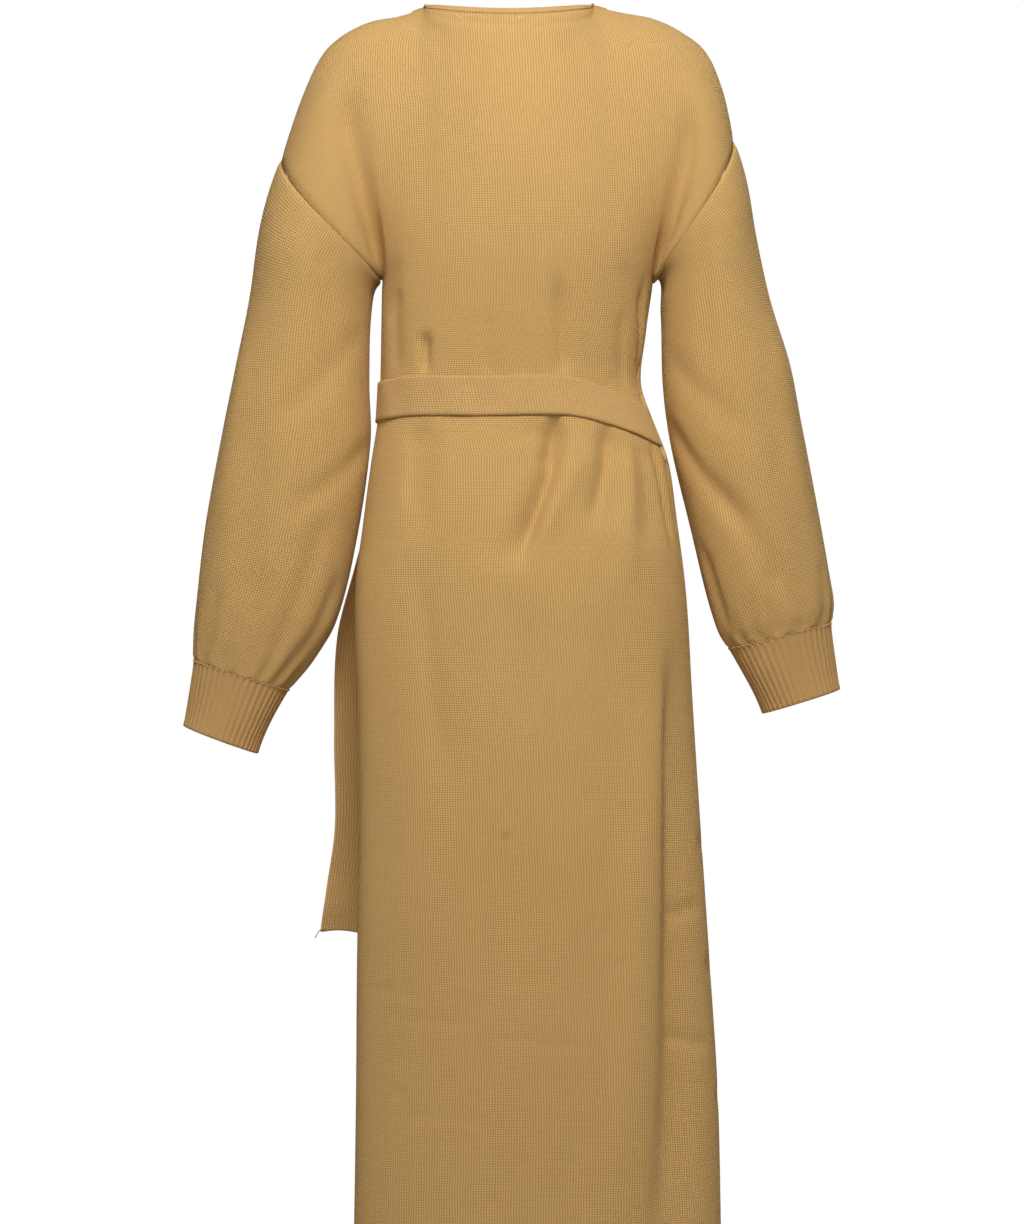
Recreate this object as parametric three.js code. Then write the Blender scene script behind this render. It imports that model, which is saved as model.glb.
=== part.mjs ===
import * as THREE from 'three';
import { mergeVertices } from 'three/addons/utils/BufferGeometryUtils.js';

// Wrap sweater dress, filled out as worn with no wearer. Millimetres, +Z up, the front
// faces -Y and +X is the wearer's left. The origin is the middle of the neck opening,
// level with the neck points, where the wearer's shoulders hold the dress up.
//
// Places on the body are given as (turn, drop). turn counts quarter turns round the body
// from centre back, positive towards the wearer's left: -1 and 1 are the sides, -2 and 2
// centre front. drop is the distance below the neck points.

// Driving sizes
const WALL = 2;
const CUFF_WALL = 3;
const SEAM_GAP = 0.3;
const ARMPIT_DROP = 283;
const HEM_DROP = 1315;
const WAIST_DROP = 407;
const NECK_TURN = 5 / 12;
const NECK_BLEND_START = NECK_TURN - 0.3;
const NECK_BLEND_END = NECK_TURN + 0.33;
const NECK_SOFTNESS = 0.26;
const NECK_SOFT_DEPTH = 0.32;
const BAND_WIDTH = 12;
const BAND_END = 1.5;
const TIE_WIDTH = 40;
const TIE_WALL = 2;
const SQUARENESS = 2.35;
const MM_PER_TURN = 205;
const SLIT_TURN = -0.8;
const SLIT_HALF_HEIGHT = 32;
const FRONT_OVERLAP = 0.38;
const KNOT = { turn: 1.42, wide: 34, tall: 44, deep: 17 };

// Horizontal sections of the body below the armpits: side, back and front reaches
const sections = [
  { drop: 283, left: 141, right: -141, back: 100, front: 112 },
  { drop: 340, left: 142, right: -133, back: 93, front: 108 },
  { drop: 390, left: 143, right: -128, back: 87, front: 102 },
  { drop: 425, left: 145, right: -139, back: 88, front: 102 },
  { drop: 470, left: 152, right: -156, back: 95, front: 107 },
  { drop: 530, left: 160, right: -165, back: 103, front: 113 },
  { drop: 610, left: 169, right: -175, back: 110, front: 119 },
  { drop: 740, left: 166, right: -183, back: 112, front: 121 },
  { drop: 850, left: 165, right: -190, back: 110, front: 121 },
  { drop: 1000, left: 167, right: -200, back: 107, front: 120 },
  { drop: 1130, left: 168, right: -208, back: 105, front: 119 },
  { drop: 1315, left: 171, right: -212, back: 104, front: 118 },
];

// The top line from neck point to armhole, both sides
const shoulders = [
  { share: 0, leftX: 97, leftZ: 1, rightX: 78, rightZ: 3 },
  { share: 0.2, leftX: 124, leftZ: -8, rightX: 108, rightZ: -4 },
  { share: 0.4, leftX: 153, leftZ: -14, rightX: 141, rightZ: -11 },
  { share: 0.6, leftX: 184, leftZ: -30, rightX: 173, rightZ: -27 },
  { share: 0.76, leftX: 206, leftZ: -54, rightX: 197, rightZ: -49 },
  { share: 0.88, leftX: 226, leftZ: -100, rightX: 213, rightZ: -90 },
  { share: 1, leftX: 244, leftZ: -157, rightX: 221, rightZ: -137 },
];

// Sleeve rings: centre, half width, half depth, and lean of the ring from level in degrees
const sleeveRings = {
  left: [
    { share: 0, x: 192.5, z: -220, y: 0, wide: 81.4, deep: 76, lean: 50.7 },
    { share: 0.1, x: 207, z: -261, y: 0, wide: 68, deep: 74, lean: 28 },
    { share: 0.2, x: 214, z: -305, y: -2, wide: 64, deep: 70, lean: 12 },
    { share: 0.36, x: 223, z: -380, y: -5, wide: 70, deep: 66, lean: 7 },
    { share: 0.5, x: 229, z: -443, y: -8, wide: 77, deep: 66, lean: 7 },
    { share: 0.7, x: 246, z: -545, y: -12, wide: 79, deep: 64, lean: 9 },
    { share: 0.86, x: 261, z: -622, y: -15, wide: 74, deep: 58, lean: 13 },
    { share: 0.94, x: 275, z: -662, y: -17, wide: 64, deep: 50, lean: 16 },
    { share: 1, x: 288, z: -694, y: -18, wide: 52, deep: 40, lean: 17.4 },
    { share: 1.18, x: 310, z: -760, y: -20, wide: 40, deep: 30, lean: 20.5 },
  ],
  right: [
    { share: 0, x: 181, z: -210, y: 0, wide: 83.2, deep: 76, lean: 61.2 },
    { share: 0.1, x: 195, z: -252, y: 0, wide: 58, deep: 74, lean: 34 },
    { share: 0.2, x: 203, z: -304, y: -2, wide: 57, deep: 70, lean: 14 },
    { share: 0.36, x: 216, z: -380, y: -5, wide: 67, deep: 66, lean: 10 },
    { share: 0.5, x: 226, z: -440, y: -8, wide: 69, deep: 65, lean: 11 },
    { share: 0.7, x: 246, z: -532, y: -12, wide: 67, deep: 62, lean: 12 },
    { share: 0.86, x: 260, z: -598, y: -14, wide: 65, deep: 56, lean: 13 },
    { share: 0.94, x: 268, z: -632, y: -15, wide: 62, deep: 49, lean: 14 },
    { share: 1, x: 273, z: -653, y: -16, wide: 55, deep: 42, lean: 14 },
    { share: 1.18, x: 295.5, z: -720, y: -18, wide: 41, deep: 31, lean: 17.5 },
  ],
};
const ARMHOLE_BOW = 17;

// Folds: a line from one place to another, its half width, and how far it lifts the cloth
const folds = [
  { turn: 0.8, drop: 95, toTurn: 0.9, toDrop: 275, wide: 13, lift: -13 },
  { turn: -0.84, drop: 110, toTurn: -0.92, toDrop: 275, wide: 12, lift: -12 },
  { turn: -0.22, drop: 300, toTurn: -0.3, toDrop: 400, wide: 6, lift: -3 },
  { turn: 0.42, drop: 345, toTurn: 0.43, toDrop: 400, wide: 6, lift: -5 },
  { turn: -0.2, drop: 430, toTurn: 0.02, toDrop: 580, wide: 15, lift: -9 },
  { turn: -0.12, drop: 450, toTurn: 0.08, toDrop: 560, wide: 18, lift: 4 },
  { turn: -0.42, drop: 440, toTurn: -0.36, toDrop: 540, wide: 14, lift: -6 },
  { turn: -0.58, drop: 445, toTurn: -0.56, toDrop: 560, wide: 14, lift: -5 },
  { turn: 0.42, drop: 430, toTurn: 0.4, toDrop: 560, wide: 12, lift: -4 },
  { turn: 0.38, drop: 560, toTurn: 0.3, toDrop: 830, wide: 24, lift: -4 },
  { turn: -0.5, drop: 720, toTurn: -0.24, toDrop: 1290, wide: 17, lift: 5 },
  { turn: -0.66, drop: 690, toTurn: -0.46, toDrop: 1300, wide: 21, lift: -14 },
  { turn: 0.72, drop: 560, toTurn: 0.74, toDrop: 1250, wide: 26, lift: 4 },
  { turn: -1.3, drop: 480, toTurn: -1.35, toDrop: 1250, wide: 26, lift: -9 },
  { turn: -1.62, drop: 500, toTurn: -1.66, toDrop: 1270, wide: 24, lift: 6 },
  { turn: 1.7, drop: 470, toTurn: 1.8, toDrop: 1200, wide: 28, lift: -8 },
  { turn: 1.3, drop: 470, toTurn: 1.28, toDrop: 1240, wide: 26, lift: -9 },
  { turn: 2.2, drop: 560, toTurn: 2.1, toDrop: 1230, wide: 26, lift: 5 },
];

function clamp01(value) {
  return Math.min(1, Math.max(0, value));
}

function easeStep(from, to, value) {
  const t = clamp01((value - from) / (to - from));
  return t * t * (3 - 2 * t);
}

// Smooth curve through one column of a table
function tableValue(rows, key, column, at) {
  let row = 0;
  while (row < rows.length - 2 && at > rows[row + 1][key]) row += 1;
  const before = rows[Math.max(row - 1, 0)];
  const from = rows[row];
  const to = rows[row + 1];
  const after = rows[Math.min(row + 2, rows.length - 1)];
  const span = to[key] - from[key];
  const t = clamp01((at - from[key]) / span);
  const slopeFrom = (to[column] - before[column]) / (to[key] - before[key]) * span;
  const slopeTo = (after[column] - from[column]) / (after[key] - from[key]) * span;
  return hermite(from[column], slopeFrom, to[column], slopeTo, t);
}

function hermite(from, fromSlope, to, toSlope, t) {
  const t2 = t * t;
  const t3 = t2 * t;
  return from * (2 * t3 - 3 * t2 + 1) + fromSlope * (t3 - 2 * t2 + t)
    + to * (3 * t2 - 2 * t3) + toSlope * (t3 - t2);
}

function hermiteVector(from, fromSlope, to, toSlope, t) {
  return new THREE.Vector3(
    hermite(from.x, fromSlope.x, to.x, toSlope.x, t),
    hermite(from.y, fromSlope.y, to.y, toSlope.y, t),
    hermite(from.z, fromSlope.z, to.z, toSlope.z, t),
  );
}

// Superellipse ring round the body below the armpits
function ringPoint(turn, drop) {
  const left = tableValue(sections, 'drop', 'left', drop);
  const right = tableValue(sections, 'drop', 'right', drop);
  const back = tableValue(sections, 'drop', 'back', drop);
  const front = tableValue(sections, 'drop', 'front', drop);
  const sine = Math.sin(turn * Math.PI / 2);
  const cosine = Math.cos(turn * Math.PI / 2);
  const reach = (Math.abs(sine) ** SQUARENESS + Math.abs(cosine) ** SQUARENESS) ** (-1 / SQUARENESS);
  return new THREE.Vector3(
    (left + right) / 2 + (left - right) / 2 * reach * sine,
    (cosine > 0 ? back : front) * reach * cosine,
    -drop,
  );
}

// Closed ring of a sleeve: 0 is the outside, a quarter turn the back, half the inside
function sleevePoint(side, share, angle) {
  const rows = sleeveRings[side];
  const mirror = side === 'left' ? 1 : -1;
  const read = (column) => tableValue(rows, 'share', column, share);
  const lean = read('lean') * Math.PI / 180;
  const across = read('wide') * Math.cos(angle);
  const bow = ARMHOLE_BOW * Math.abs(Math.sin(angle)) * (1 + Math.cos(angle)) / 2 * (1 - easeStep(0, 0.3, share));
  return new THREE.Vector3(
    mirror * (read('x') + across * Math.cos(lean) + bow * Math.sin(lean)),
    read('y') + read('deep') * Math.sin(angle),
    read('z') + across * Math.sin(lean) - bow * Math.cos(lean),
  );
}

// Outward direction square to a sleeve's ring
function sleeveRimNormal(side, share, angle) {
  const rows = sleeveRings[side];
  const mirror = side === 'left' ? 1 : -1;
  const lean = tableValue(rows, 'share', 'lean', share) * Math.PI / 180;
  const wide = tableValue(rows, 'share', 'wide', share);
  const deep = tableValue(rows, 'share', 'deep', share);
  return new THREE.Vector3(
    mirror * deep * Math.cos(angle) * Math.cos(lean),
    wide * Math.sin(angle),
    deep * Math.cos(angle) * Math.sin(lean),
  ).normalize();
}

// Top line of the body: round the neck, then out along the shoulder to the armhole
function topPoint(face, across) {
  const side = across < 0 ? 'right' : 'left';
  const mirror = across < 0 ? -1 : 1;
  const share = Math.max(0, (Math.abs(across) - NECK_TURN) / (1 - NECK_TURN));
  if (share > 0) {
    return new THREE.Vector3(
      mirror * tableValue(shoulders, 'share', side + 'X', share), 0,
      tableValue(shoulders, 'share', side + 'Z', share),
    );
  }
  const round = across / NECK_TURN * Math.PI / 2;
  const middle = (shoulders[0].leftX - shoulders[0].rightX) / 2;
  const half = (shoulders[0].leftX + shoulders[0].rightX) / 2;
  return new THREE.Vector3(
    middle + half * Math.sin(round),
    face * 52 * Math.cos(round),
    2 - (face > 0 ? 10 : 30) * Math.cos(round) ** 2,
  );
}

function turnOf(face, across) {
  if (face > 0) return across;
  return across < 0 ? -2 - across : 2 - across;
}

// Column of the yoke from the top line down to armpit level
function yokeColumn(face, across, t) {
  const turn = turnOf(face, across);
  const from = topPoint(face, across);
  const to = ringPoint(turn, ARMPIT_DROP);
  const below = ringPoint(turn, ARMPIT_DROP + 4);
  const open = 1 - easeStep(NECK_BLEND_START, NECK_BLEND_END, Math.abs(across));
  const fromSlope = new THREE.Vector3(0, face * (190 - 60 * open), -10 - 110 * open);
  const toSlope = below.sub(to).multiplyScalar(ARMPIT_DROP / 4);
  return hermiteVector(from, fromSlope, to, toSlope, t);
}

// Column averaged with its neighbours over a reach that grows and dies out again,
// so that the neck points leave no crease in the yoke
function softColumn(face, across, t) {
  const room = Math.max(0, 1 - Math.abs(across));
  const growth = easeStep(0, NECK_SOFT_DEPTH, t) * (1 - easeStep(0.45, 1, t));
  const reach = Math.min(NECK_SOFTNESS * growth, room);
  const sum = new THREE.Vector3();
  let total = 0;
  for (let step = -4; step <= 4; step += 1) {
    const share = 5 - Math.abs(step);
    sum.addScaledVector(yokeColumn(face, across + step / 4 * reach, t), share);
    total += share;
  }
  return sum.divideScalar(total);
}

// The whole body surface without folds, on the back (face 1) or front (face -1)
function smoothBody(face, across, drop) {
  if (drop >= ARMPIT_DROP) return ringPoint(turnOf(face, across), drop);
  const t = Math.max(drop, 0) / ARMPIT_DROP;
  const edge = across < 0 ? -1 : 1;
  const side = across < 0 ? 'right' : 'left';
  const pull = sleevePoint(side, 0, face * Math.PI * t).sub(yokeColumn(face, edge, t));
  return softColumn(face, across, t).addScaledVector(pull, Math.min(1, Math.abs(across)) ** 5);
}

function surfaceNormal(surface, across, down, step) {
  const alongAcross = surface(across + step, down).sub(surface(across - step, down));
  const alongDown = surface(across, down + step * MM_PER_TURN).sub(surface(across, down - step * MM_PER_TURN));
  return alongAcross.cross(alongDown).normalize();
}

function bodyNormal(face, across, drop) {
  const side = across < 0 ? 'right' : 'left';
  const surface = (u, v) => smoothBody(face, u, v);
  const reach = 0.004;
  const down = Math.max(drop, reach * MM_PER_TURN);
  const normal = surfaceNormal(surface, across, down, reach).multiplyScalar(face);
  if (drop < 1 && Math.abs(across) > NECK_TURN - 0.001) normal.setY(0).normalize();
  if (drop < ARMPIT_DROP && Math.abs(across) > 0.985) {
    const radial = sleeveRimNormal(side, 0, face * Math.PI * clamp01(drop / ARMPIT_DROP));
    normal.lerp(radial, 1 - easeStep(0.78, 0.98, drop / ARMPIT_DROP)).normalize();
  }
  return normal;
}

function tieMiddle(turn) {
  const climb = easeStep(0.2, 0.85, -turn);
  return WAIST_DROP + 31 * climb * (1 - easeStep(1, 1.5, -turn)) + 4 * easeStep(0.5, 1, turn);
}

function foldLift(turn, drop) {
  let lift = 0;
  for (const fold of folds) {
    const runX = (fold.toTurn - fold.turn) * MM_PER_TURN;
    const runY = fold.toDrop - fold.drop;
    const offX = (turn - fold.turn) * MM_PER_TURN;
    const offY = drop - fold.drop;
    const length = Math.hypot(runX, runY);
    const along = (offX * runX + offY * runY) / length / length;
    const aside = (offX * runY - offY * runX) / length;
    const fade = easeStep(-0.12, 0.18, along) * (1 - easeStep(0.72, 1.12, along));
    lift += fold.lift * fade * Math.exp(-((aside / fold.wide) ** 2));
  }
  const clearOfTie = easeStep(TIE_WIDTH / 2, TIE_WIDTH / 2 + 22, Math.abs(drop - tieMiddle(turn)));
  return lift * clearOfTie;
}

// Body surface with folds, moved out by lift
function bodyPoint(face, across, drop, lift = 0) {
  const turn = turnOf(face, across);
  const nearArmhole = drop < ARMPIT_DROP ? 1 - easeStep(0.93, 0.985, Math.abs(across)) : 1;
  const out = lift + foldLift(turn, drop) * nearArmhole;
  return smoothBody(face, across, drop).addScaledVector(bodyNormal(face, across, drop), out);
}

// Closed wall between an outer grid of points and the same grid moved in
function wallGeometry(rows, columns, outerAt, innerAt, closed = false) {
  const positions = [];
  const indices = [];
  for (const pointAt of [outerAt, innerAt]) {
    for (let row = 0; row <= rows; row += 1) {
      for (let column = 0; column < (closed ? columns : columns + 1); column += 1) {
        positions.push(...pointAt(row / rows, column / columns).toArray());
      }
    }
  }
  const perRow = closed ? columns : columns + 1;
  const layer = (rows + 1) * perRow;
  const index = (inner, row, column) => inner * layer + row * perRow + column % perRow;
  const quad = (a, b, c, d) => indices.push(a, b, c, a, c, d);
  for (let row = 0; row < rows; row += 1) {
    for (let column = 0; column < columns; column += 1) {
      quad(index(0, row, column), index(0, row + 1, column),
        index(0, row + 1, column + 1), index(0, row, column + 1));
      quad(index(1, row, column), index(1, row, column + 1),
        index(1, row + 1, column + 1), index(1, row + 1, column));
    }
  }
  for (let column = 0; column < columns; column += 1) {
    quad(index(0, 0, column), index(0, 0, column + 1), index(1, 0, column + 1), index(1, 0, column));
    quad(index(0, rows, column), index(1, rows, column),
      index(1, rows, column + 1), index(0, rows, column + 1));
  }
  for (let row = 0; row < rows && !closed; row += 1) {
    quad(index(0, row, 0), index(1, row, 0), index(1, row + 1, 0), index(0, row + 1, 0));
    quad(index(0, row, columns), index(0, row + 1, columns),
      index(1, row + 1, columns), index(1, row, columns));
  }
  const geometry = new THREE.BufferGeometry();
  geometry.setAttribute('position', new THREE.Float32BufferAttribute(positions, 3));
  geometry.setIndex(indices);
  return geometry;
}

// Columns always run the same way round, so that a flipped piece is turned right side out
function facingOut(geometry) {
  const position = geometry.getAttribute('position');
  const index = geometry.getIndex();
  const [a, b, c] = [new THREE.Vector3(), new THREE.Vector3(), new THREE.Vector3()];
  let volume = 0;
  for (let corner = 0; corner < index.count; corner += 3) {
    a.fromBufferAttribute(position, index.getX(corner));
    b.fromBufferAttribute(position, index.getX(corner + 1));
    c.fromBufferAttribute(position, index.getX(corner + 2));
    volume += a.dot(b.cross(c));
  }
  if (volume < 0) geometry.setIndex(Array.from(index.array).reverse());
  return geometry;
}

const knit = new THREE.MeshStandardMaterial({ color: 0xc8a467, roughness: 0.92, metalness: 0 });
const rib = new THREE.MeshStandardMaterial({ color: 0xb99153, roughness: 0.93, metalness: 0 });
const dress = new THREE.Group();

function addPiece(name, geometry, material) {
  const mesh = new THREE.Mesh(facingOut(geometry), material);
  mesh.name = name;
  dress.add(mesh);
}

// Piece of the body between two edges given as functions of drop
function bodyPanel(face, dropAt, rows, columns, fromEdge, toEdge, liftAt) {
  const place = (rowShare, columnShare, inward) => {
    const rough = dropAt(rowShare, 0);
    const from = fromEdge(rough);
    const across = from + (toEdge(rough) - from) * columnShare;
    const drop = dropAt(rowShare, across);
    return bodyPoint(face, across, drop, liftAt(across, drop) - inward);
  };
  return wallGeometry(rows, columns,
    (row, column) => place(row, column, 0), (row, column) => place(row, column, WALL));
}

const edgeGap = SEAM_GAP / 2 / MM_PER_TURN * 1.1;
const flat = () => 0;

// Side seam at the wearer's right swings to the back below the waist, and opens at the slit
function rightSeam(drop) {
  return -1 + 0.2 * easeStep(300, 425, drop) * (1 - easeStep(450, 780, drop));
}

function slitOpening(drop) {
  const height = (drop - tieMiddle(SLIT_TURN)) / SLIT_HALF_HEIGHT;
  return 0.035 * Math.sqrt(Math.max(0, 1 - height * height));
}

// Front edges of the wrap, the right front over the left
function overEdge(drop) {
  return -NECK_TURN + (NECK_TURN + FRONT_OVERLAP) * Math.min(1, drop / WAIST_DROP) ** 1.1;
}

function underEdge(drop) {
  return -overEdge(drop);
}

const bandTurn = BAND_WIDTH / MM_PER_TURN;

// Rows of every panel fall at the same drops, and the yoke's match the sleeve's columns
const PANEL_COLUMNS = 24;
const panelBands = [
  { toDrop: ARMPIT_DROP, rows: 10 },
  { toDrop: 380, rows: 3 },
  { toDrop: 470, rows: 6 },
  { toDrop: HEM_DROP, rows: 14 },
];
const PANEL_ROWS = panelBands.reduce((sum, band) => sum + band.rows, 0);

function frontDrop(share) {
  let row = Math.round(share * PANEL_ROWS);
  let from = 0;
  for (const band of panelBands) {
    if (row <= band.rows) return Math.max(SEAM_GAP / 2, from + (band.toDrop - from) * row / band.rows);
    row -= band.rows;
    from = band.toDrop;
  }
  return HEM_DROP;
}

// Strip at the back neck that the band takes
function backBandDrop(across) {
  const taper = easeStep(NECK_TURN - 2 / PANEL_COLUMNS, NECK_TURN, Math.abs(across));
  return BAND_WIDTH + (BAND_END - BAND_WIDTH) * taper;
}

function backDrop(share, across) {
  const strip = Math.abs(across) < NECK_TURN + 0.01 ? backBandDrop(across) + SEAM_GAP : 0;
  return frontDrop(share) + strip * Math.max(0, 1 - 3 * share);
}

addPiece('back_panel', bodyPanel(1, backDrop, PANEL_ROWS, PANEL_COLUMNS,
  (drop) => rightSeam(drop) + edgeGap + slitOpening(drop) * 0.5,
  () => 1 - edgeGap, flat), knit);

// The right front, over the left one
addPiece('front_right', bodyPanel(-1, frontDrop, PANEL_ROWS, 13,
  (drop) => -2 - rightSeam(drop) + edgeGap + slitOpening(drop),
  (drop) => overEdge(drop) - bandTurn - edgeGap, flat), knit);

// The left front dips under the right one
const UNDER_LIFT = -5.5;
function underLift(across, drop) {
  return UNDER_LIFT * (1 - easeStep(0.1, 0.34, across - overEdge(drop)));
}

addPiece('front_left', bodyPanel(-1, frontDrop, PANEL_ROWS, 13,
  (drop) => underEdge(drop) + bandTurn + edgeGap,
  () => 1 - edgeGap, underLift), knit);

// Neck band: across the back neck and down both front edges
function bandGeometry(place, rows, columns) {
  return wallGeometry(rows, columns,
    (row, column) => place(row, column, 0), (row, column) => place(row, column, WALL));
}

const neckColumns = NECK_TURN * PANEL_COLUMNS;
addPiece('neck_band_back', bandGeometry((row, column, inward) => {
  const across = NECK_TURN * (2 * column - 1) * (1 - edgeGap);
  const drop = SEAM_GAP / 2 + (backBandDrop(across) - 0.1) * row;
  return bodyPoint(1, across, drop, -inward);
}, 1, neckColumns), knit);

for (const [name, edge, inset, liftAt] of [
  ['neck_band_right', overEdge, -1, flat],
  ['neck_band_left', underEdge, 1, underLift],
]) {
  addPiece(name, bandGeometry((row, column, inward) => {
    const drop = frontDrop(row);
    const across = edge(drop) + inset * bandTurn * column;
    return bodyPoint(-1, across, drop, liftAt(across, drop) - inward);
  }, PANEL_ROWS, 1), knit);
}

// Sleeves and cuffs
function tubeGeometry(side, fromShare, toShare, rows, columns, wall, atRim) {
  const mirror = side === 'left' ? 1 : -1;
  const place = (row, column, inward) => {
    const share = fromShare + (toShare - fromShare) * row;
    const angle = column * 2 * Math.PI;
    const normal = sleeveRimNormal(side, share, angle);
    const shift = new THREE.Vector3(mirror * atRim.x, 0, atRim.z);
    return sleevePoint(side, share, angle).add(shift).addScaledVector(normal, -inward);
  };
  return wallGeometry(rows, columns,
    (row, column) => place(row, column, 0), (row, column) => place(row, column, wall), true);
}

for (const side of ['left', 'right']) {
  const clear = { x: 0.95, z: -0.35 };
  addPiece('sleeve_' + side, tubeGeometry(side, 0, 1, 15, 20, WALL, clear), knit);
  const below = { x: clear.x + 0.12, z: clear.z - SEAM_GAP };
  addPiece('cuff_' + side, tubeGeometry(side, 1, 1.18, 2, 20, CUFF_WALL, below), rib);
}

// Tie: sewn to the under front's edge, out through the slit, round the back to the knot
function bodyAtTurn(turn, drop, lift) {
  if (Math.abs(turn) <= 1) return bodyPoint(1, turn, drop, lift);
  return bodyPoint(-1, turn < 0 ? -2 - turn : 2 - turn, drop, lift);
}

const TIE_OUTSIDE = TIE_WALL + 1;
const TIE_INSIDE = -WALL - 1.6;

function tieStrip(stops, liftAt) {
  const columns = stops.length - 1;
  const place = (row, column, inward) => {
    const turn = stops[Math.round(column * columns)];
    const drop = tieMiddle(turn) + TIE_WIDTH * (row - 0.5);
    return bodyAtTurn(turn, drop, liftAt(turn) - inward);
  };
  return wallGeometry(2, columns,
    (row, column) => place(row, column, 0), (row, column) => place(row, column, TIE_WALL));
}

function spread(from, to, count) {
  return Array.from({ length: count }, (_, step) => from + (to - from) * step / count);
}

const knotHalfTurn = (KNOT.wide / 2 + 1.5) / MM_PER_TURN;
const slitFront = SLIT_TURN - 0.03;
const slitBack = SLIT_TURN + 0.01;
const knotStart = KNOT.turn - knotHalfTurn;
addPiece('tie_inner', tieStrip([
  ...spread(-2 - underEdge(WAIST_DROP) + 0.004, slitFront, 18),
  ...spread(slitFront, slitBack, 1),
  ...spread(slitBack, knotStart, 48),
  knotStart,
], (turn) => (turn < SLIT_TURN - 0.01 ? TIE_INSIDE : TIE_OUTSIDE)), knit);

const overStart = 2 - overEdge(WAIST_DROP) - 0.002;
addPiece('tie_outer', tieStrip([...spread(KNOT.turn + knotHalfTurn, overStart, 5), overStart],
  () => TIE_OUTSIDE), knit);

// Knot: a rounded lump standing just off the body
const knotPlace = bodyAtTurn(KNOT.turn, tieMiddle(KNOT.turn), 0);
const knotOut = bodyNormal(-1, 2 - KNOT.turn, tieMiddle(KNOT.turn));
const knotGeometry = new THREE.SphereGeometry(1, 12, 8);
knotGeometry.deleteAttribute('normal');
knotGeometry.deleteAttribute('uv');
knotGeometry.scale(KNOT.wide / 2, KNOT.deep / 2, KNOT.tall / 2);
knotGeometry.rotateZ(Math.atan2(knotOut.y, knotOut.x) + Math.PI / 2);
const knotCentre = knotPlace.addScaledVector(knotOut, KNOT.deep / 2 + 1);
knotGeometry.translate(knotCentre.x, knotCentre.y, knotCentre.z);
addPiece('tie_knot', mergeVertices(knotGeometry, 0.001), knit);

// Loose ends below the knot: the strip's middle, and the way its width lies in degrees from +X
const tails = {
  tie_tail_long: [
    { share: 0, x: 128, y: -86, z: -438, facing: 38 },
    { share: 0.12, x: 133, y: -92, z: -500, facing: 34 },
    { share: 0.27, x: 153, y: -84, z: -580, facing: 26 },
    { share: 0.4, x: 171, y: -80, z: -655, facing: 14 },
    { share: 0.6, x: 174, y: -80, z: -760, facing: 8 },
    { share: 0.78, x: 173, y: -80, z: -855, facing: 6 },
    { share: 0.9, x: 181, y: -80, z: -915, facing: 3 },
    { share: 1, x: 189, y: -80, z: -968, facing: 0 },
  ],
  tie_tail_short: [
    { share: 0, x: 122, y: -95, z: -434, facing: 36 },
    { share: 0.12, x: 108, y: -108, z: -480, facing: 28 },
    { share: 0.3, x: 86, y: -122, z: -540, facing: 21 },
    { share: 0.5, x: 80, y: -130, z: -630, facing: 17 },
    { share: 0.75, x: 84, y: -132, z: -740, facing: 15 },
    { share: 1, x: 88, y: -133, z: -835, facing: 14 },
  ],
};

function tailPoint(rows, share, across) {
  const read = (column) => tableValue(rows, 'share', column, share);
  const facing = read('facing') * Math.PI / 180;
  return new THREE.Vector3(
    read('x') + across * Math.cos(facing), read('y') + across * Math.sin(facing), read('z'),
  );
}

function tailInward(rows, share) {
  const facing = tableValue(rows, 'share', 'facing', share) * Math.PI / 180;
  return new THREE.Vector3(-Math.sin(facing), Math.cos(facing), 0);
}

for (const [name, rows] of Object.entries(tails)) {
  const place = (row, column, inward) => tailPoint(rows, row, TIE_WIDTH * (column - 0.5))
    .addScaledVector(tailInward(rows, row), inward);
  addPiece(name, wallGeometry(14, 1,
    (row, column) => place(row, column, 0), (row, column) => place(row, column, TIE_WALL)), knit);
}

export default dress;
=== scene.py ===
import math
import bpy
import numpy as np
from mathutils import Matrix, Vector


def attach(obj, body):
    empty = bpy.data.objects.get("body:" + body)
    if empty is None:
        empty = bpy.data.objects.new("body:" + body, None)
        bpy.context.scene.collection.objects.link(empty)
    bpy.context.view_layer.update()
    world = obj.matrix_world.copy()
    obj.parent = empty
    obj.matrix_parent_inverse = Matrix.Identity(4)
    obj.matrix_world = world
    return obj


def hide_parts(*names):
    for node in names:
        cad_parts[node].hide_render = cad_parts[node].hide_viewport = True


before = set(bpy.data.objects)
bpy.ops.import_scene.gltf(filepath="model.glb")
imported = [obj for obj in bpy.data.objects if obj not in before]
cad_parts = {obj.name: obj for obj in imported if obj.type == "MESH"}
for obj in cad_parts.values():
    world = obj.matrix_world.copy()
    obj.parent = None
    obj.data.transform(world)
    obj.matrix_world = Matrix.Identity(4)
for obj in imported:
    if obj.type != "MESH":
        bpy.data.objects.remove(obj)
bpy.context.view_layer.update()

mm = 0.001  # the tables are a pattern cutter's, in millimetres

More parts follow.
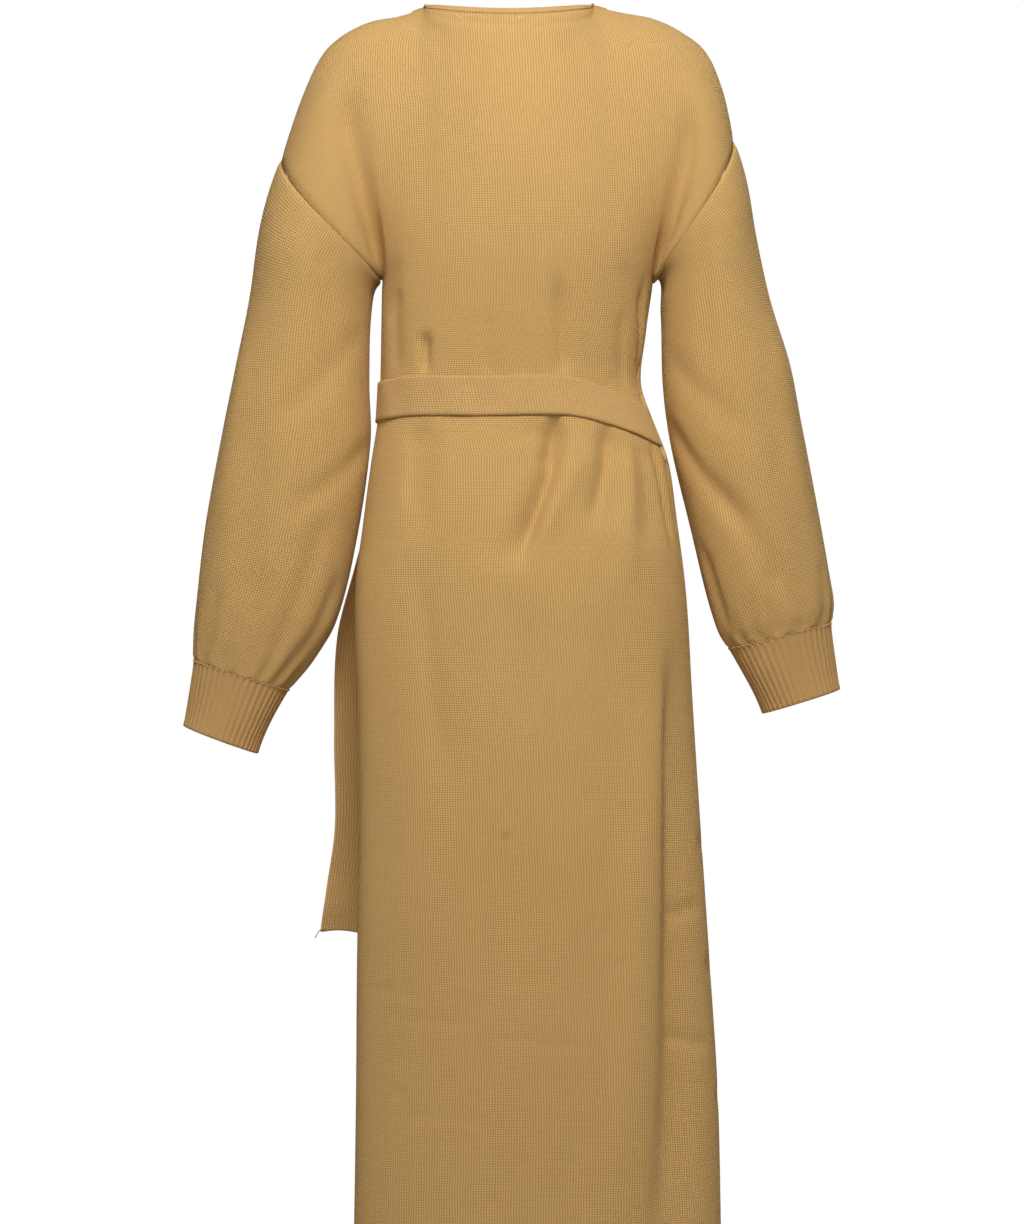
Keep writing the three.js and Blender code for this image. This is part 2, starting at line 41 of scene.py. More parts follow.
# Places on the body are (turn, drop): turn counts quarter turns round from centre back,
# plus towards the wearer's left, and drop is millimetres below the neck points.
body = {
    "armpitDrop": 283, "hemDrop": 1315, "waistDrop": 407, "neckTurn": 5 / 12,
    "squareness": 2.35, "mmPerTurn": 205, "wall": 2.0, "seamGap": 0.3, "bandWidth": 12,
    "frontOverlap": 0.38, "underLift": -5.5, "armholeBow": 17,
    "neckDeep": 52, "neckSagBack": 10, "neckSagFront": 30,
}
sections = {  # side, back and front reaches of the body at each drop
    "drop": [283, 340, 390, 425, 470, 530, 610, 740, 850, 1000, 1130, 1315],
    "left": [141, 142, 143, 145, 152, 160, 169, 166, 165, 167, 168, 171],
    "right": [-141, -133, -128, -139, -156, -165, -175, -183, -190, -200, -208, -212],
    "back": [100, 93, 87, 88, 95, 103, 110, 112, 110, 107, 105, 104],
    "front": [112, 108, 102, 102, 107, 113, 119, 121, 121, 120, 119, 118],
}
shoulders = {  # the top line from neck point (0) to armhole (1)
    "share": [0, 0.2, 0.4, 0.6, 0.76, 0.88, 1],
    "leftX": [97, 124, 153, 184, 206, 226, 244],
    "leftZ": [1, -8, -14, -30, -54, -100, -157],
    "rightX": [78, 108, 141, 173, 197, 213, 221],
    "rightZ": [3, -4, -11, -27, -49, -90, -137],
}
sleeves = {
    "left": {
        "share": [0, 0.1, 0.2, 0.36, 0.5, 0.7, 0.86, 0.94, 1, 1.18],
        "x": [192.5, 207, 214, 223, 229, 246, 261, 275, 288, 310],
        "z": [-220, -261, -305, -380, -443, -545, -622, -662, -694, -760],
        "y": [0, 0, -2, -5, -8, -12, -15, -17, -18, -20],
        "wide": [81.4, 68, 64, 70, 77, 79, 74, 64, 52, 40],
        "deep": [76, 74, 70, 66, 66, 64, 58, 50, 40, 30],
        "lean": [50.7, 28, 12, 7, 7, 9, 13, 16, 17.4, 20.5],
    },
    "right": {
        "share": [0, 0.1, 0.2, 0.36, 0.5, 0.7, 0.86, 0.94, 1, 1.18],
        "x": [181, 195, 203, 216, 226, 246, 260, 268, 273, 295.5],
        "z": [-210, -252, -304, -380, -440, -532, -598, -632, -653, -720],
        "y": [0, 0, -2, -5, -8, -12, -14, -15, -16, -18],
        "wide": [83.2, 58, 57, 67, 69, 67, 65, 62, 55, 41],
        "deep": [76, 74, 70, 66, 65, 62, 56, 49, 42, 31],
        "lean": [61.2, 34, 14, 10, 11, 12, 13, 14, 14, 17.5],
    },
}
# Folds on the body: start turn and drop, end turn and drop, half width, lift, and one-sidedness
bodyFolds = [
    # deep creases where the shoulders turn into the sleeves
    (0.8, 95, 0.9, 275, 13, -13, 0), (-0.84, 110, -0.92, 275, 12, -12, 0),
    # above the tie
    (-0.22, 300, -0.3, 400, 6, -3, 0.5), (0.42, 345, 0.43, 400, 6, -5, 0),
    (-0.55, 325, -0.62, 400, 7, -3, 0.4), (0.66, 300, 0.62, 395, 12, -3, 0),
    # below the tie at the back
    (-0.2, 430, 0.02, 580, 15, -9, 0.8), (-0.12, 450, 0.08, 560, 18, 4, 0),
    (-0.42, 440, -0.36, 540, 14, -6, 0), (-0.58, 445, -0.56, 560, 14, -5, 0),
    (0.42, 430, 0.4, 560, 12, -4, 0),
    # long soft folds of the skirt
    (0.38, 560, 0.3, 830, 24, -4, 0), (-0.5, 720, -0.24, 1290, 17, 5, 0),
    (-0.65, 690, -0.44, 1310, 21, -16, -0.55), (0.72, 560, 0.74, 1250, 26, 4, 0),
    (-0.3, 640, -0.36, 900, 22, -3, 0), (0.05, 700, 0.02, 1180, 40, 2, 0),
    (-1.3, 480, -1.35, 1250, 26, -9, 0), (-1.62, 500, -1.66, 1270, 24, 6, 0),
    (1.7, 470, 1.8, 1200, 28, -8, 0), (1.3, 470, 1.28, 1240, 26, -9, 0),
    (2.2, 560, 2.1, 1230, 26, 5, 0),
]
fineFolds = [  # small creases that only the visible cloth has
    (-0.19, 428, -0.1, 480, 5, -7, 0.4), (-0.17, 456, 0.01, 575, 6, -8, 0.5),
    (-0.26, 470, -0.06, 560, 8, 3, 0),
    (-0.42, 436, -0.28, 540, 6, -6, 0.4), (-0.68, 455, -0.74, 560, 6, -5, 0.3),
    (-0.5, 460, -0.42, 600, 9, 2.5, 0), (0.48, 440, 0.46, 520, 7, -3, 0),
    (-0.19, 290, -0.26, 392, 5, -5, 0.4), (0.13, 325, 0.11, 396, 5, -2.5, 0),
    (0.45, 345, 0.42, 392, 5, -4, 0),
    (-0.7, 290, -0.86, 392, 8, -4, 0.3), (-0.02, 640, 0, 745, 6, -2.2, 0), (0.38, 600, 0.33, 790, 8, -2.5, 0),
    (0.3, 27, 0.1, 33, 5.5, -1.6, 0), (0.12, 32, -0.12, 38, 6, -2.2, 0), (-0.08, 37, -0.4, 33, 5.5, -1.8, 0),
    (0.505, 1114, 0.505, 1124, 5, -1.5, 0), (-0.55, 940, -0.78, 930, 8, -3, 0),
    (-0.5, 1060, -0.76, 1075, 8, -3, 0),
    (0.55, 1040, 0.2, 1046, 3.5, -0.9, 0), (0.12, 1060, -0.2, 1070, 4, -0.9, 0),
    (0.5, 1140, 0.15, 1146, 4, -0.7, 0), (0.3, 1010, -0.1, 1016, 4, 0.6, 0),
    (0.7, 1012, 0.4, 1020, 4, -0.8, 0), (-0.83, 985, -0.93, 1010, 9, -3, 0),
    (-0.86, 1120, -0.95, 1140, 10, -3, 0), (-0.84, 860, -0.95, 880, 9, -2, 0),
    (0.6, 300, 0.75, 330, 8, -2, 0), (0.62, 268, 0.82, 318, 9, -2.2, 0),
    (-0.5, 275, -0.8, 330, 9, -2, 0), (0.25, 520, 0.22, 700, 16, -1.6, 0),
    (0.02, 600, -0.1, 840, 20, -1.8, 0), (-1.5, 300, -1.8, 390, 10, -3, 0),
    (1.5, 300, 1.75, 390, 10, -3, 0), (-1.9, 330, -1.6, 395, 9, -2.5, 0),
    (2.1, 445, 2.0, 540, 10, -3, 0), (-2.0, 440, -1.9, 560, 12, -3.5, 0),
    (-1.75, 445, -1.7, 530, 10, -3, 0), (1.55, 445, 1.6, 560, 12, -3, 0),
]


def clampUnit(value):
    return np.clip(value, 0.0, 1.0)


def easeStep(start, end, value):
    # smooth rise from 0 at start to 1 at end: 3t^2 - 2t^3
    t = clampUnit((value - start) / (end - start))
    return t * t * (3 - 2 * t)


def hermite(start, startSlope, end, endSlope, t):
    # cubic that leaves start and reaches end with the given slopes
    t2, t3 = t * t, t * t * t
    return (start * (2 * t3 - 3 * t2 + 1) + startSlope * (t3 - 2 * t2 + t)
            + end * (3 * t2 - 2 * t3) + endSlope * (t3 - t2))


def readTable(table, key, column, at):
    # smooth curve through one column, with slopes taken from the rows on each side
    at = np.asarray(at, float)
    places = np.array(table[key], float)
    values = np.array(table[column], float)
    slopes = np.gradient(values)
    slopes[1:-1] = (values[2:] - values[:-2]) / (places[2:] - places[:-2])
    slopes[0] = (values[1] - values[0]) / (places[1] - places[0])
    slopes[-1] = (values[-1] - values[-2]) / (places[-1] - places[-2])
    row = np.clip(np.searchsorted(places, at, side="left") - 1, 0, len(places) - 2)
    span = places[row + 1] - places[row]
    t = clampUnit((at - places[row]) / span)
    return hermite(values[row], slopes[row] * span, values[row + 1], slopes[row + 1] * span, t)


def asPoints(x, y, z):
    return np.stack(np.broadcast_arrays(x, y, z), axis=-1)


def unit(vectors):
    return vectors / np.maximum(np.linalg.norm(vectors, axis=-1, keepdims=True), 1e-9)


def ringPoint(turn, drop):
    # superellipse round the body at a drop, squarer than an ellipse
    left, right = readTable(sections, "drop", "left", drop), readTable(sections, "drop", "right", drop)
    back, front = readTable(sections, "drop", "back", drop), readTable(sections, "drop", "front", drop)
    sine, cosine = np.sin(turn * np.pi / 2), np.cos(turn * np.pi / 2)
    power = body["squareness"]
    reach = (np.abs(sine) ** power + np.abs(cosine) ** power) ** (-1 / power)
    return asPoints((left + right) / 2 + (left - right) / 2 * reach * sine,
                    np.where(cosine > 0, back, front) * reach * cosine, -np.asarray(drop, float))


def sleevePoint(side, share, angle):
    # leaning ellipse about the sleeve's middle line; the armhole ring also bows outwards
    table = sleeves[side]
    mirror = 1 if side == "left" else -1
    read = lambda column: readTable(table, "share", column, share)
    lean = np.radians(read("lean"))
    across = read("wide") * np.cos(angle)
    bow = body["armholeBow"] * np.abs(np.sin(angle)) * (1 + np.cos(angle)) / 2 * (1 - easeStep(0, 0.3, share))
    return asPoints(mirror * (read("x") + across * np.cos(lean) + bow * np.sin(lean)),
                    read("y") + read("deep") * np.sin(angle),
                    read("z") + across * np.sin(lean) - bow * np.cos(lean))


def sleeveNormal(side, share, angle):
    # square to the ellipse, in the ring's own plane
    table = sleeves[side]
    mirror = 1 if side == "left" else -1
    lean = np.radians(readTable(table, "share", "lean", share))
    wide, deep = readTable(table, "share", "wide", share), readTable(table, "share", "deep", share)
    return unit(asPoints(mirror * deep * np.cos(angle) * np.cos(lean), wide * np.sin(angle),
                         deep * np.cos(angle) * np.sin(lean)))


def topPoint(face, across):
    # round the neck on an ellipse, then out along the shoulder table
    neck = body["neckTurn"]
    share = clampUnit((np.abs(across) - neck) / (1 - neck))
    lefts = asPoints(readTable(shoulders, "share", "leftX", share), 0,
                     readTable(shoulders, "share", "leftZ", share))
    rights = asPoints(-readTable(shoulders, "share", "rightX", share), 0,
                      readTable(shoulders, "share", "rightZ", share))
    onShoulder = np.where((across < 0)[..., None], rights, lefts)
    round_ = np.clip(across / neck, -1, 1) * np.pi / 2
    leftX, rightX = shoulders["leftX"][0], shoulders["rightX"][0]
    sag = body["neckSagBack"] if face > 0 else body["neckSagFront"]
    atNeck = asPoints((leftX - rightX) / 2 + (leftX + rightX) / 2 * np.sin(round_),
                      face * body["neckDeep"] * np.cos(round_),
                      2 - sag * np.cos(round_) ** 2)
    return np.where((np.abs(across) > neck)[..., None], onShoulder, atNeck)


def turnOf(face, across):
    if face > 0:
        return across
    return np.where(across < 0, -2 - across, 2 - across)


def yokeColumn(face, across, t):
    # cubic from the top line to armpit level, meeting the body below smoothly
    turn = turnOf(face, across)
    start, end = topPoint(face, across), ringPoint(turn, body["armpitDrop"])
    below = ringPoint(turn, body["armpitDrop"] + 4)
    opened = 1 - easeStep(neckBlend["from"], neckBlend["to"], np.abs(across))
    startSlope = asPoints(0, face * (190 - 60 * opened), -10 - 110 * opened)
    endSlope = (below - end) * body["armpitDrop"] / 4
    return hermite(start, startSlope, end, endSlope, t[..., None])


neckBlend = {"from": 5 / 12 - 0.3, "to": 5 / 12 + 0.33, "softness": 0.26, "softDepth": 0.32}


def softColumn(face, across, t):
    # columns averaged over a reach that grows and dies out again, so that the neck points leave no crease
    room = np.maximum(0, 1 - np.abs(across))
    growth = easeStep(0, neckBlend["softDepth"], t) * (1 - easeStep(0.45, 1, t))
    reach = np.minimum(neckBlend["softness"] * growth, room)
    total = 0
    for step in range(-4, 5):
        total = total + (5 - abs(step)) / 25 * yokeColumn(face, across + step / 4 * reach, t)
    return total


def smoothBody(face, across, drop):
    # yoke above the armpits, pulled to the armholes at its sides, and rings below
    t = clampUnit(drop / body["armpitDrop"])
    edge = np.where(across < 0, -1.0, 1.0)
    leftHole = sleevePoint("left", 0 * t, face * np.pi * t)
    rightHole = sleevePoint("right", 0 * t, face * np.pi * t)
    pull = np.where((across < 0)[..., None], rightHole, leftHole) - yokeColumn(face, edge, t)
    yoke = softColumn(face, across, t) + pull * np.minimum(1, np.abs(across))[..., None] ** 5
    ring = ringPoint(turnOf(face, across), np.maximum(drop, body["armpitDrop"]))
    return np.where((drop >= body["armpitDrop"])[..., None], ring, yoke)


def bodyNormal(face, across, drop):
    # cross product of the two directions along the surface
    step = 0.004
    down = np.maximum(drop, step * body["mmPerTurn"])
    alongAcross = smoothBody(face, across + step, down) - smoothBody(face, across - step, down)
    alongDown = smoothBody(face, across, down + 0.8) - smoothBody(face, across, down - 0.8)
    normal = unit(np.cross(alongAcross, alongDown)) * face
    ridge = (drop < 1) & (np.abs(across) > body["neckTurn"] - 0.001)
    normal[..., 1] = np.where(ridge, 0, normal[..., 1])
    hole = face * np.pi * clampUnit(drop / body["armpitDrop"])
    radial = np.where((across < 0)[..., None], sleeveNormal("right", 0 * hole, hole),
                      sleeveNormal("left", 0 * hole, hole))
    share = (1 - easeStep(0.78, 0.98, drop / body["armpitDrop"])) * (
        (drop < body["armpitDrop"]) & (np.abs(across) > 0.985))
    return unit(normal + (radial - normal) * share[..., None])


def tieMiddle(turn):
    climb = easeStep(0.2, 0.85, -turn)
    return body["waistDrop"] + 31 * climb * (1 - easeStep(1, 1.5, -turn)) + 4 * easeStep(0.5, 1, turn)


def liftOfFolds(folds, turn, drop):
    # each fold is a ridge or trough of bell section along its line, steeper on one side if told
    lift = np.zeros(np.broadcast(turn, drop).shape)
    for startTurn, startDrop, endTurn, endDrop, wide, height, oneSided in folds:
        runX, runY = (endTurn - startTurn) * body["mmPerTurn"], endDrop - startDrop
        offX, offY = (turn - startTurn) * body["mmPerTurn"], drop - startDrop
        length = math.hypot(runX, runY)
        along = (offX * runX + offY * runY) / length ** 2
        aside = (offX * runY - offY * runX) / length
        spread = wide * (1 + oneSided * np.tanh(aside / wide))
        fade = easeStep(-0.12, 0.18, along) * (1 - easeStep(0.72, 1.12, along))
        lift += height * fade * np.exp(-(aside / spread) ** 2)
    return lift


def foldLift(turn, drop):
    clear = easeStep(20, 42, np.abs(drop - tieMiddle(turn)))
    close = easeStep(19, 26, np.abs(drop - tieMiddle(turn)))
    return liftOfFolds(bodyFolds, turn, drop) * clear + liftOfFolds(fineFolds, turn, drop) * close


def bodyPoint(face, across, drop, lift=0.0):
    # the smooth body moved out along its normal by the folds and the lift
    across, drop = np.broadcast_arrays(np.asarray(across, float), np.asarray(drop, float))
    turn = turnOf(face, across)
    nearHole = np.where(drop < body["armpitDrop"], 1 - easeStep(0.93, 0.985, np.abs(across)), 1)
    out = lift + foldLift(turn, drop) * nearHole
    return smoothBody(face, across, drop) + bodyNormal(face, across, drop) * out[..., None]


def bodyAtTurn(turn, drop, lift):
    face = np.where(np.abs(turn) <= 1, 1, -1)
    across = np.where(turn < 0, -2 - turn, 2 - turn)
    back = bodyPoint(1, np.clip(turn, -1.02, 1.02), drop, lift)
    front = bodyPoint(-1, np.clip(across, -1.02, 1.02), drop, lift)
    return np.where((face > 0)[..., None], back, front)


def gridNormals(points, closed):
    # cross product of central differences over the grid
    if closed:
        alongColumn = np.roll(points, -1, 1) - np.roll(points, 1, 1)
    else:
        alongColumn = np.gradient(points, axis=1)
    alongRow = np.gradient(points, axis=0)
    return unit(np.cross(alongColumn, alongRow))


def lengthsAlong(points, axis):
    steps = np.linalg.norm(np.diff(points, axis=axis), axis=-1)
    zeros = np.zeros_like(np.take(steps, [0], axis=axis))
    return np.concatenate([zeros, np.cumsum(steps, axis=axis)], axis=axis)


pieces = []


def makeShell(name, outer, wall, rimRound=0.6, closed=False, flip=False):
    # closed cloth shell: the outer grid, the same grid moved in along its normals by the wall, and rims
    # between them whose middle row stands out by rimRound. UV is metres of cloth, across and down.
    rows, columns = outer.shape[:2]
    normals = gridNormals(outer, closed) * (-1 if flip else 1)
    inner = outer - normals * wall
    flatX = lengthsAlong(outer, 1)
    flatX = flatX - flatX[:, -1:] / 2
    flatY = lengthsAlong(outer, 0).mean(axis=1, keepdims=True) + 0 * flatX
    flats = np.stack([flatX, flatY], -1).reshape(-1, 2)
    index = np.arange(rows * columns).reshape(rows, columns)
    count = rows * columns
    wrapped = np.concatenate([index, index[:, :1]], axis=1) if closed else index
    a, b, c, d = wrapped[:-1, :-1], wrapped[1:, :-1], wrapped[1:, 1:], wrapped[:-1, 1:]
    quads = [np.stack([a, d, c, b], -1).reshape(-1, 4), np.stack([a, b, c, d], -1).reshape(-1, 4) + count]
    up, down = outer[0] - outer[1], outer[-1] - outer[-2]
    if closed:
        loops = [(index[0, ::-1], up[::-1]), (index[-1], down)]
    else:
        before, after = outer[:, 0] - outer[:, 1], outer[:, -1] - outer[:, -2]
        loops = [(np.concatenate([index[0, :0:-1], index[:-1, 0], index[-1, :-1], index[:0:-1, -1]]),
                  np.concatenate([up[:0:-1], before[:-1], down[:-1], after[:0:-1]]))]
    points, rimFlats, start = [outer.reshape(-1, 3), inner.reshape(-1, 3)], [flats, flats], 2 * count
    for ids, outward in loops:
        middle = (points[0][ids] + points[1][ids]) / 2 + unit(outward) * rimRound
        rim = start + np.arange(len(ids))
        nextIds, nextRim = np.roll(ids, -1), np.roll(rim, -1)
        quads.append(np.stack([ids, nextIds, nextRim, rim], -1))
        quads.append(np.stack([rim, nextRim, nextIds + count, ids + count], -1))
        points.append(middle)
        rimFlats.append(flats[ids])
        start += len(ids)
    quads = np.concatenate(quads)
    if flip:
        quads = quads[:, ::-1]
    piece = meshObject(name, np.concatenate(points) * mm, quads, np.concatenate(rimFlats) * mm)
    piece["clothWide"] = float(lengthsAlong(outer, 1)[:, -1].max() * mm)
    piece["clothLong"] = float(lengthsAlong(outer, 0)[-1].max() * mm)
    cross = np.cross(outer[1:, 1:] - outer[:-1, :-1], outer[1:, :-1] - outer[:-1, 1:])
    piece["clothArea"] = float(np.linalg.norm(cross, axis=-1).sum() / 2 * mm * mm)
    return piece


def meshObject(name, points, quads, flats, smooth=True):
    mesh = bpy.data.meshes.new(name)
    mesh.vertices.add(len(points))
    mesh.vertices.foreach_set("co", points.astype(np.float32).ravel())
    mesh.loops.add(quads.size)
    mesh.loops.foreach_set("vertex_index", quads.astype(np.int32).ravel())
    mesh.polygons.add(len(quads))
    mesh.polygons.foreach_set("loop_start", np.arange(0, quads.size, quads.shape[1], dtype=np.int32))
    mesh.polygons.foreach_set("use_smooth", np.full(len(quads), smooth))
    mesh.uv_layers.new(name="cloth")
    mesh.uv_layers["cloth"].data.foreach_set("uv", flats[quads.ravel()].astype(np.float32).ravel())
    mesh.update()
    mesh.validate()
    piece = bpy.data.objects.new(name, mesh)
    bpy.context.scene.collection.objects.link(piece)
    pieces.append(piece)
    return piece


def settleSeams(points, depth, closed=False, sides=True, reach=3.0):
    # cloth turns in towards a seam: sink each edge by depth, fading over reach millimetres
    normals = gridNormals(points, closed)
    down = lengthsAlong(points, 0)
    sink = np.exp(-(down / reach) ** 2) + np.exp(-((down[-1:] - down) / reach) ** 2)
    if sides and not closed:
        over = lengthsAlong(points, 1)
        sink = sink + np.exp(-(over / reach) ** 2) + np.exp(-((over[:, -1:] - over) / reach) ** 2)
    return points - normals * (depth * np.minimum(sink, 1))[..., None]


def grid(rows, columns):
    return np.meshgrid(np.linspace(0, 1, rows), np.linspace(0, 1, columns), indexing="ij")


edgeGap = body["seamGap"] / 2 / body["mmPerTurn"] * 1.1
bandTurn = body["bandWidth"] / body["mmPerTurn"]
slit = {"turn": -0.8, "halfHeight": 32, "open": 0.035}


def rightSeam(drop):
    return -1 + 0.2 * easeStep(300, 425, drop) * (1 - easeStep(450, 780, drop))


def slitOpening(drop):
    height = (drop - tieMiddle(np.array(slit["turn"]))) / slit["halfHeight"]
    return slit["open"] * np.sqrt(np.maximum(0, 1 - height * height))


def overEdge(drop):
    neck = body["neckTurn"]
    return -neck + (neck + body["frontOverlap"]) * np.minimum(
        1, np.maximum(drop, 0) / body["waistDrop"]) ** 1.1


def underEdge(drop):
    return -overEdge(drop)


def underLift(across, drop):
    return body["underLift"] * (1 - easeStep(0.1, 0.34, across - overEdge(drop)))


def backBandDrop(across):
    neck = body["neckTurn"]
    return body["bandWidth"] + (1.5 - body["bandWidth"]) * easeStep(neck - 1 / 12, neck, np.abs(across))


# The panels
panels = {"rows": 300, "backColumns": 128, "frontColumns": 64, "seamDepth": 0.9}


def rowDrops(row):
    return 0.15 + (body["hemDrop"] - 0.15) * row


def makeBack():
    row, column = grid(panels["rows"], panels["backColumns"])
    drop = rowDrops(row)
    start = rightSeam(drop) + edgeGap + slitOpening(drop) * 0.5
    across = start + (1 - edgeGap - start) * column
    strip = np.where(np.abs(across) < body["neckTurn"], backBandDrop(across) + body["seamGap"], 0)
    drop = drop + strip * np.maximum(0, 1 - 3 * row)
    return makeShell("backPanelCloth",
                     settleSeams(bodyPoint(1, across, drop), panels["seamDepth"]), body["wall"])


def makeFront(name, startOf, endOf, liftOf):
    row, column = grid(panels["rows"], panels["frontColumns"])
    drop = rowDrops(row)
    across = startOf(drop) + (endOf(drop) - startOf(drop)) * column
    points = bodyPoint(-1, across, drop, liftOf(across, drop))
    return makeShell(name, settleSeams(points, -panels["seamDepth"]), body["wall"], flip=True)


def noLift(across, drop):
    return 0 * across


def makeBackBand():
    row, column = grid(9, 90)
    across = body["neckTurn"] * (2 * column - 1) * (1 - edgeGap)
    drop = 0.15 + (backBandDrop(across) - 0.1) * row
    roundness = 0.9 * np.sin(np.pi * np.clip(row, 0.02, 0.98)) ** 0.6
    return makeShell("neckBandBackCloth", bodyPoint(1, across, drop, roundness), 2.4, rimRound=1.1)


def makeFrontBand(name, edgeOf, inset, liftOf):
    row, column = grid(panels["rows"], 8)
    drop = rowDrops(row)
    across = edgeOf(drop) + inset * (bandTurn - edgeGap) * column
    roundness = 0.7 * np.sin(np.pi * np.clip(column, 0.02, 0.98)) ** 0.6
    points = bodyPoint(-1, across, drop, liftOf(across, drop) + roundness)
    return makeShell(name, points, 2.2, rimRound=0.9, flip=inset > 0)


backPanel = makeBack()
frontRight = makeFront("frontRightCloth", lambda drop: -2 - rightSeam(drop) + edgeGap + slitOpening(drop),
                       lambda drop: overEdge(drop) - bandTurn - edgeGap, noLift)
frontLeft = makeFront("frontLeftCloth", lambda drop: underEdge(drop) + bandTurn + edgeGap,
                      lambda drop: 1 - edgeGap + 0 * drop, underLift)
neckBandBack = makeBackBand()
neckBandRight = makeFrontBand("neckBandRightCloth", overEdge, -1, noLift)
neckBandLeft = makeFrontBand("neckBandLeftCloth", underEdge, 1, underLift)
print("panels and neck bands made")

# Sleeves and cuffs. Folds: start angle (degrees, 0 outside, 90 back, 180 inside) and share, end angle
# and share, half width and lift in millimetres
sleeve = {"rows": 150, "columns": 120, "shiftX": 0.95, "shiftZ": -0.35, "gather": 1.5, "gathers": 15}
sleeveFolds = {
    "left": [(100, 0.06, 120, 0.4, 12, -3), (150, 0.25, 70, 0.5, 14, -2.5), (165, 0.5, 95, 0.66, 12, -3.5),
             (60, 0.5, 75, 0.92, 16, -3), (125, 0.66, 110, 0.96, 12, -4), (30, 0.3, 40, 0.7, 18, 3),
             (-90, 0.2, -70, 0.6, 16, -5), (-120, 0.5, -60, 0.75, 14, -5), (-40, 0.65, -50, 0.97, 12, -4),
             (150, 0.78, 140, 0.98, 9, -3.5), (85, 0.8, 88, 0.99, 8, -2.5), (45, 0.84, 48, 0.99, 8, -2)],
    "right": [(95, 0.06, 110, 0.36, 12, -3), (150, 0.3, 80, 0.52, 14, -3), (165, 0.45, 100, 0.72, 12, -5),
              (120, 0.6, 70, 0.93, 14, -4), (60, 0.55, 50, 0.92, 16, -2.5), (35, 0.3, 45, 0.7, 18, 3),
              (-90, 0.2, -75, 0.6, 16, -5), (-115, 0.5, -60, 0.75, 14, -5), (-45, 0.65, -50, 0.97, 12, -4),
              (155, 0.74, 145, 0.98, 9, -4), (90, 0.82, 92, 0.99, 8, -2.5), (30, 0.84, 30, 0.99, 8, -2)],
}


def sleeveLift(side, share, angle):
    lift = 0 * share
    long, radius = 500, 68
    for startAngle, startShare, endAngle, endShare, wide, height in sleeveFolds[side]:
        turn = (angle - math.radians(startAngle) + np.pi) % (2 * np.pi) - np.pi
        runX, runY = math.radians(endAngle - startAngle) * radius, (endShare - startShare) * long
        offX, offY = turn * radius, (share - startShare) * long
        length = math.hypot(runX, runY)
        along = (offX * runX + offY * runY) / length ** 2
        aside = (offX * runY - offY * runX) / length
        lift = lift + height * easeStep(-0.15, 0.2, along) * (
            1 - easeStep(0.7, 1.15, along)) * np.exp(-(aside / wide) ** 2)
    gather = np.sin(sleeve["gathers"] * angle + 1.3 * np.sin(3 * angle)) * easeStep(0.86, 0.995, share)
    nearArmhole = easeStep(0.0, 0.06, share)
    return (lift + sleeve["gather"] * gather) * nearArmhole * (1 - easeStep(0.985, 1.0, share))


def sleeveShift(side):
    return np.array([(1 if side == "left" else -1) * sleeve["shiftX"], 0, sleeve["shiftZ"]])


def makeSleeve(side):
    row, column = np.meshgrid(np.linspace(0, 1, sleeve["rows"]),
                              np.arange(sleeve["columns"]) / sleeve["columns"], indexing="ij")
    angle = column * 2 * np.pi
    points = sleevePoint(side, row, angle) + sleeveShift(side)
    points = points + sleeveNormal(side, row, angle) * sleeveLift(side, row, angle)[..., None]
    inward = 1 if side == "right" else -1
    points = settleSeams(points, 0.9 * inward, closed=True)
    name = "sleeveLeftCloth" if side == "left" else "sleeveRightCloth"
    return makeShell(name, points, body["wall"], closed=True, flip=side == "left")


cuff = {"ribs": 42, "perRib": 8, "rows": 26, "wall": 2.2, "relief": 1.0, "flare": 2.0}


def makeCuff(side):
    # rings of the sleeve table past its seam, with raised ribs: relief times a flattened cosine
    columns = cuff["ribs"] * cuff["perRib"]
    row, column = np.meshgrid(np.linspace(0, 1, cuff["rows"]), np.arange(columns) / columns, indexing="ij")
    angle = column * 2 * np.pi
    share = 1 + 0.18 * row
    rib = np.tanh(1.6 * np.cos(cuff["ribs"] * angle)) / math.tanh(1.6)
    wobble = 0.8 * np.sin(3 * angle + 4 * row) * row
    lift = cuff["relief"] * (rib - 1) * 0.5 + wobble + cuff["flare"] * row ** 6
    shift = sleeveShift(side) + np.array([0.12 if side == "left" else -0.12, 0, -body["seamGap"]])
    points = sleevePoint(side, share, angle) + shift + sleeveNormal(side, share, angle) * lift[..., None]
    name = "cuffLeftRib" if side == "left" else "cuffRightRib"
    return makeShell(name, points, cuff["wall"], closed=True, rimRound=0.8, flip=side == "left")


sleeveLeft, sleeveRight = makeSleeve("left"), makeSleeve("right")
cuffLeft, cuffRight = makeCuff("left"), makeCuff("right")
print("sleeves and cuffs made")

# The tie: inside from the under front's edge, out through the slit, round the back to the knot
tie = {"width": 40, "wall": 2.0, "outside": 2.7, "inside": -3.6, "columns": 520, "knotTurn": 1.42,
       "knotWide": 34, "knotTall": 44, "knotDeep": 17}
knotHalf = (tie["knotWide"] / 2 + 1.5) / body["mmPerTurn"]


def makeTieStretch(name, start, end, columns):
    row, column = grid(12, columns)
    turn = start + (end - start) * column
    away = easeStep(slit["turn"] - 0.03, slit["turn"] + 0.012, turn)
    lift = tie["inside"] + (tie["outside"] - tie["inside"]) * away
    ripple = 0.5 * np.sin(turn * 23 + row * 2) * np.sin(turn * 7) + 0.35 * np.sin(np.pi * row)
    drop = tieMiddle(turn) + tie["width"] * (row - 0.5) + 0.5 * np.sin(turn * 11)
    return makeShell(name, bodyAtTurn(turn, drop, lift + ripple * away), tie["wall"], rimRound=0.8)


